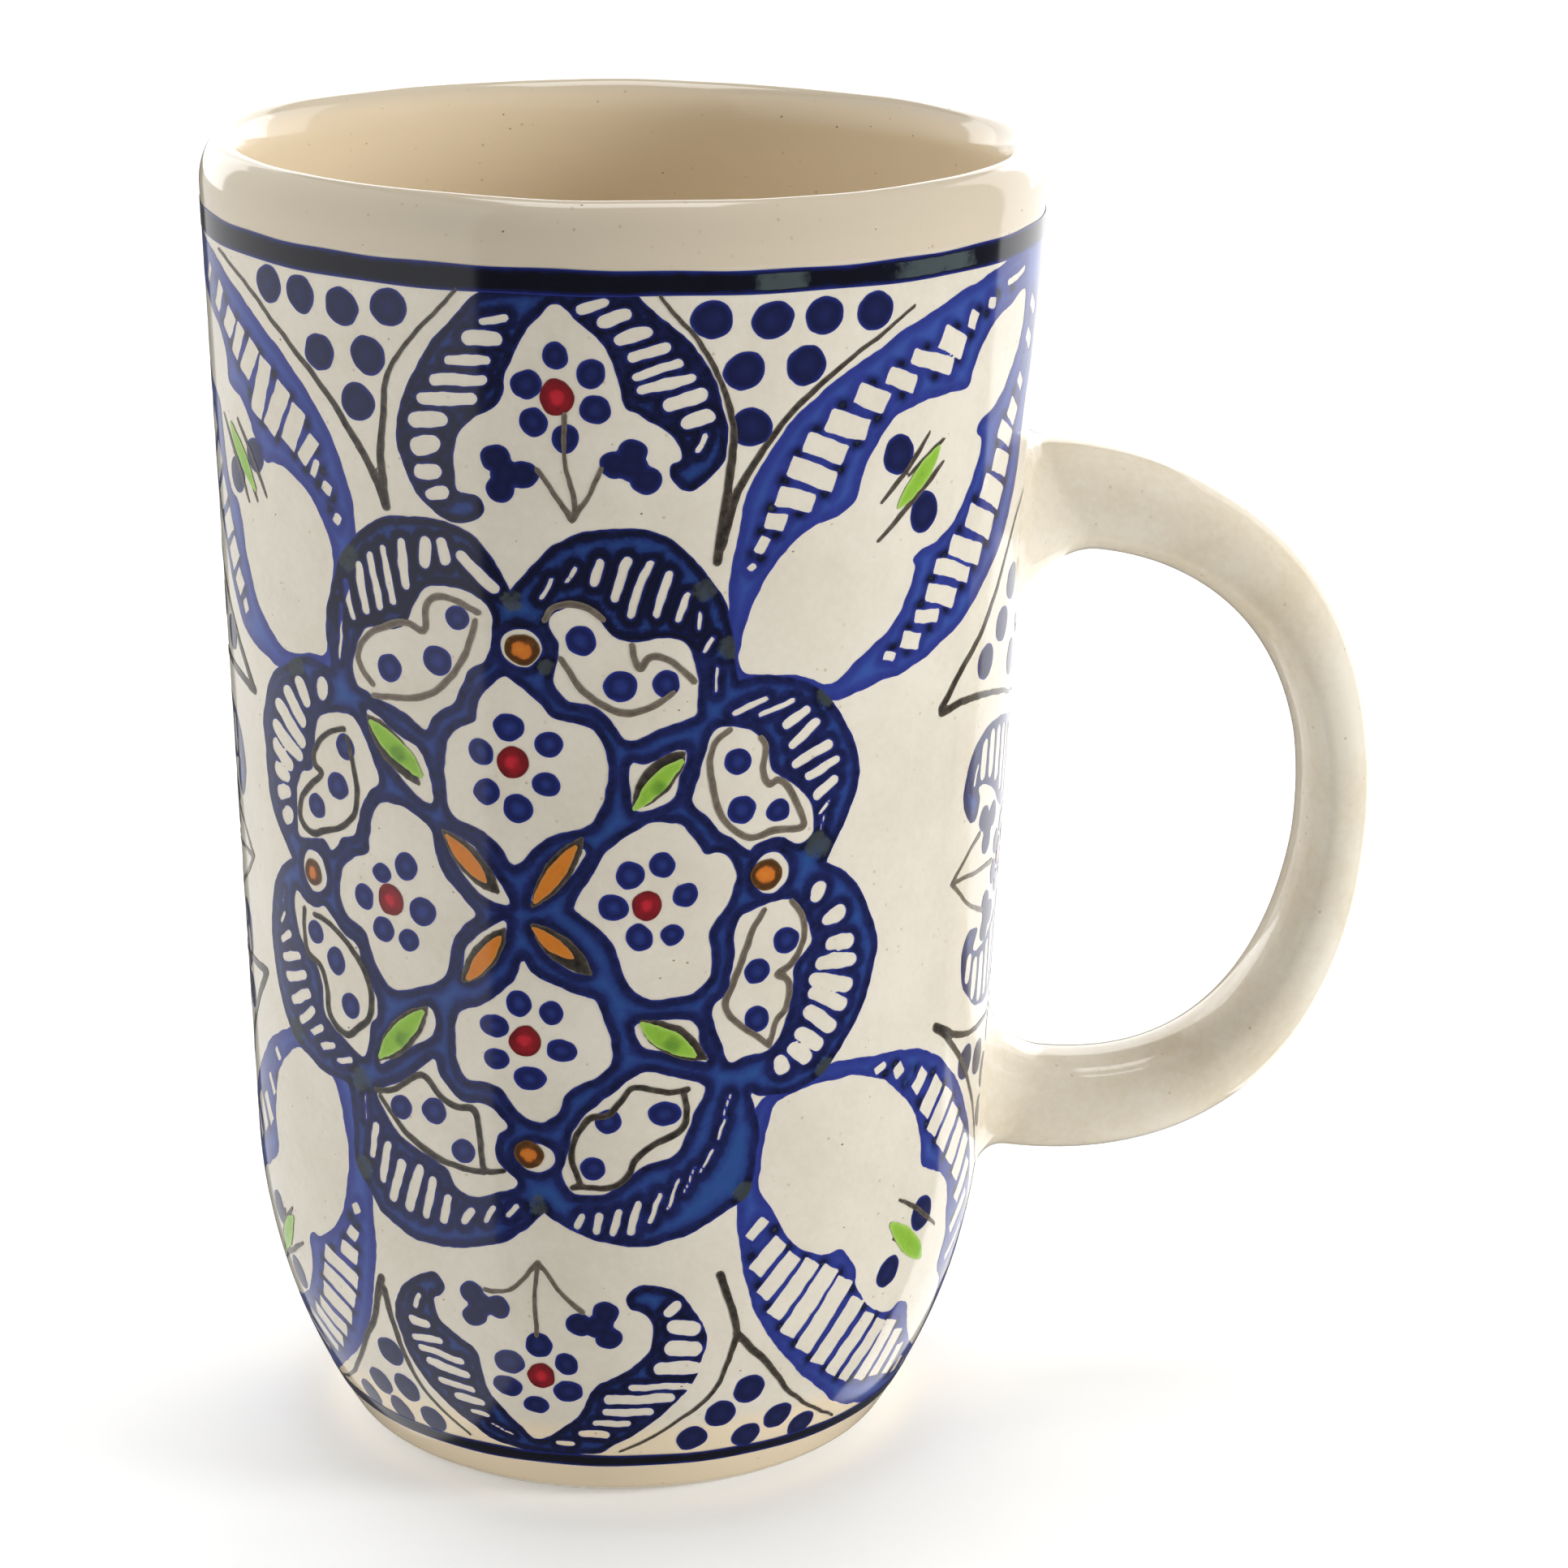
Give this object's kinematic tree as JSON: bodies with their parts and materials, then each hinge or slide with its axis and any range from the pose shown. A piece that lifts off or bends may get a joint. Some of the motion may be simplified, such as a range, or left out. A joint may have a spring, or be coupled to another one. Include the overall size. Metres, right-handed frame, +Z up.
{
  "type": "mug",
  "caption": "Tall tapering stoneware mug with a rounded foot, a pulled loop handle, cobalt painted bands and a clear glaze.",
  "frame": {"origin": "on the cup's axis, in the plane that the foot ring stands on", "axes": "+Z up along the cup's axis, +X from the axis towards the handle, +Y to the left of the handle seen from the cup"},
  "size_m": [0.1283, 0.089, 0.143],
  "materials": {
    "stoneware_clay": "matt",
    "glazed_handle": "gloss",
    "glazed_slip": "gloss",
    "cobalt_pigment": "gloss",
    "clear_glaze": "gloss",
    "liner_glaze": "gloss"
  },
  "bodies": {
    "root": {"cup_body": "stoneware_clay", "handle": "glazed_handle", "upper_slip_joint": "glazed_slip", "lower_slip_joint": "glazed_slip", "rim_band": "cobalt_pigment", "foot_band": "cobalt_pigment", "outer_glaze": "clear_glaze", "inner_glaze": "liner_glaze"}
  },
  "joints": []
}
